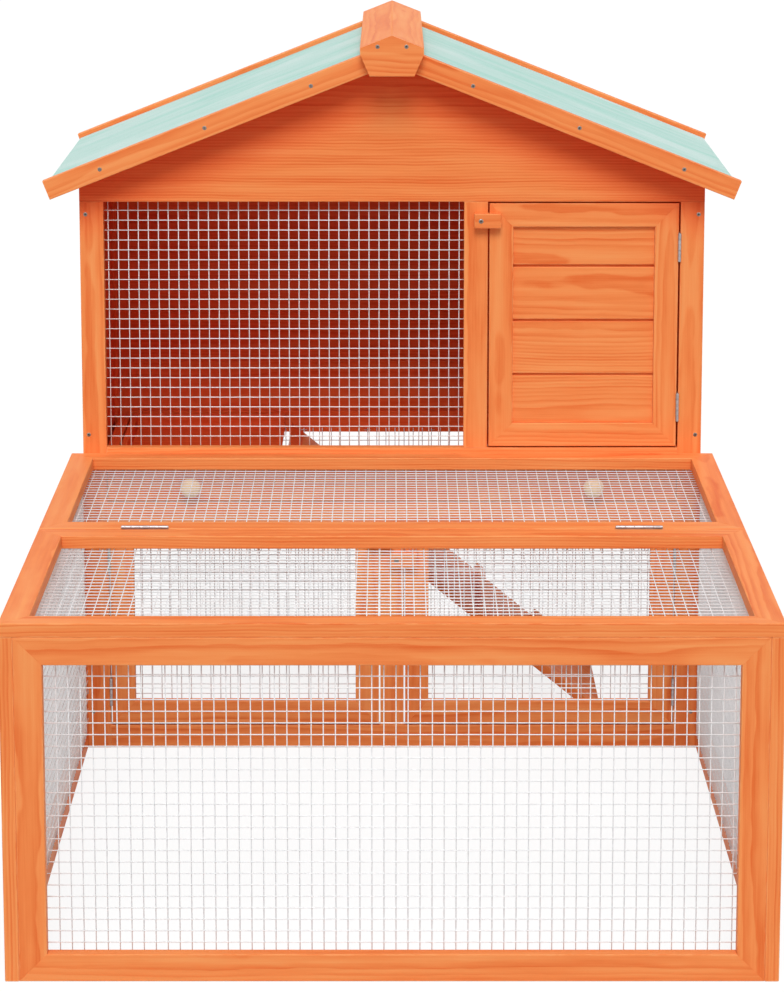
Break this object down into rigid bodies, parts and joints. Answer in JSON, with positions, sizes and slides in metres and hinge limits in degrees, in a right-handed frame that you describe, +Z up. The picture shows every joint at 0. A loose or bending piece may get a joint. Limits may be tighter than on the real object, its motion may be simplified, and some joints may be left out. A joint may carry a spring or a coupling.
{
  "type": "rabbit hutch with a run",
  "caption": "Wooden pet hutch: a gabled two-storey house with hinged doors, turn buttons, a ramp and a sliding tray, behind a low wire run with a hinged lid.",
  "frame": {"origin": "on the ground, under the middle of the hutch's bounding box", "axes": "+Y runs back from the run's front to the house's back, +Z is up, and +X is to the right seen from the front"},
  "size_m": [0.872, 1.26, 0.9298],
  "materials": {
    "stained_wood": "satin orange stain",
    "pale_wood": "clear, unstained",
    "wire": "galvanised",
    "zinc": "zinc plated",
    "felt": "matt mineral felt"
  },
  "bodies": {
    "hutch": {"run_front_frame": "stained_wood", "run_front_net": "wire", "run_left_frame": "stained_wood", "run_left_net": "wire", "run_right_frame": "stained_wood", "run_right_net": "wire", "rear_top_frame": "stained_wood", "rear_top_net": "wire", "front_corner_posts": "stained_wood", "front_bottom_rail": "stained_wood", "tray_rail": "stained_wood", "sill_rail": "stained_wood", "mullion": "stained_wood", "middle_post": "stained_wood", "window_net": "wire", "front_gable_board": "stained_wood", "left_wall_frame": "stained_wood", "left_wall_boards": "stained_wood", "left_wall_net": "wire", "right_wall_frame": "stained_wood", "right_wall_boards": "stained_wood", "right_wall_net": "wire", "back_frame": "stained_wood", "back_boards": "stained_wood", "back_gable_board": "stained_wood", "back_net": "wire", "fixed_hinge_leaves": "zinc", "tray_runners": "stained_wood", "turn_button_screws": "zinc", "ramp_board": "stained_wood", "ramp_cleats": "stained_wood", "left_roof_boards": "stained_wood", "right_roof_boards": "stained_wood", "left_roof_felt": "felt", "right_roof_felt": "felt", "front_barge_boards": "stained_wood", "back_barge_boards": "stained_wood", "ridge_boards": "stained_wood", "ridge_end_plates": "stained_wood"},
    "lid": {"lid_frame": "stained_wood", "lid_net": "wire", "lid_hinge_leaves": "zinc"},
    "upper_door": {"upper_door_frame": "stained_wood", "upper_door_boards": "stained_wood", "upper_door_hinge_leaves": "zinc"},
    "lower_left_door": {"lower_left_door_frame": "stained_wood", "lower_left_door_net": "wire", "lower_left_door_hinge_leaves": "zinc"},
    "lower_right_door": {"lower_right_door_frame": "stained_wood", "lower_right_door_net": "wire", "lower_right_door_hinge_leaves": "zinc"},
    "tray": {"tray_floor": "stained_wood", "tray_walls": "stained_wood", "tray_front": "stained_wood", "tray_knobs": "pale_wood"},
    "upper_button": {"upper_turn_button": "stained_wood"},
    "lower_left_button": {"lower_left_turn_button": "stained_wood"},
    "lower_right_button": {"lower_right_turn_button": "stained_wood"}
  },
  "joints": [
    {"name": "lid_hinge", "type": "hinge", "parent": "hutch", "child": "lid", "pos_m": [0, -0.227, 0.393], "axis": [-1, 0, 0], "range_deg": [0, 110]},
    {"name": "upper_door_hinge", "type": "hinge", "parent": "hutch", "child": "upper_door", "pos_m": [0.3629, 0.168, 0.554], "axis": [0, 0, 1], "range_deg": [0, 170]},
    {"name": "lower_left_door_hinge", "type": "hinge", "parent": "hutch", "child": "lower_left_door", "pos_m": [-0.3629, 0.168, 0.1635], "axis": [0, 0, -1], "range_deg": [0, 90]},
    {"name": "lower_right_door_hinge", "type": "hinge", "parent": "hutch", "child": "lower_right_door", "pos_m": [0.3629, 0.168, 0.1635], "axis": [0, 0, 1], "range_deg": [0, 90]},
    {"name": "tray_slide", "type": "slide", "parent": "hutch", "child": "tray", "axis": [0, -1, 0], "range_m": [0, 0.36]},
    {"name": "upper_button_turn", "type": "hinge", "parent": "hutch", "child": "upper_button", "pos_m": [0.112, 0.164, 0.692], "axis": [0, 1, 0], "range_deg": [0, 90]},
    {"name": "lower_left_button_turn", "type": "hinge", "parent": "hutch", "child": "lower_left_button", "pos_m": [-0.0065, 0.164, 0.278], "axis": [0, 1, 0], "range_deg": [0, 90]},
    {"name": "lower_right_button_turn", "type": "hinge", "parent": "hutch", "child": "lower_right_button", "pos_m": [0.0058, 0.164, 0.2525], "axis": [0, 1, 0], "range_deg": [0, 90]}
  ]
}
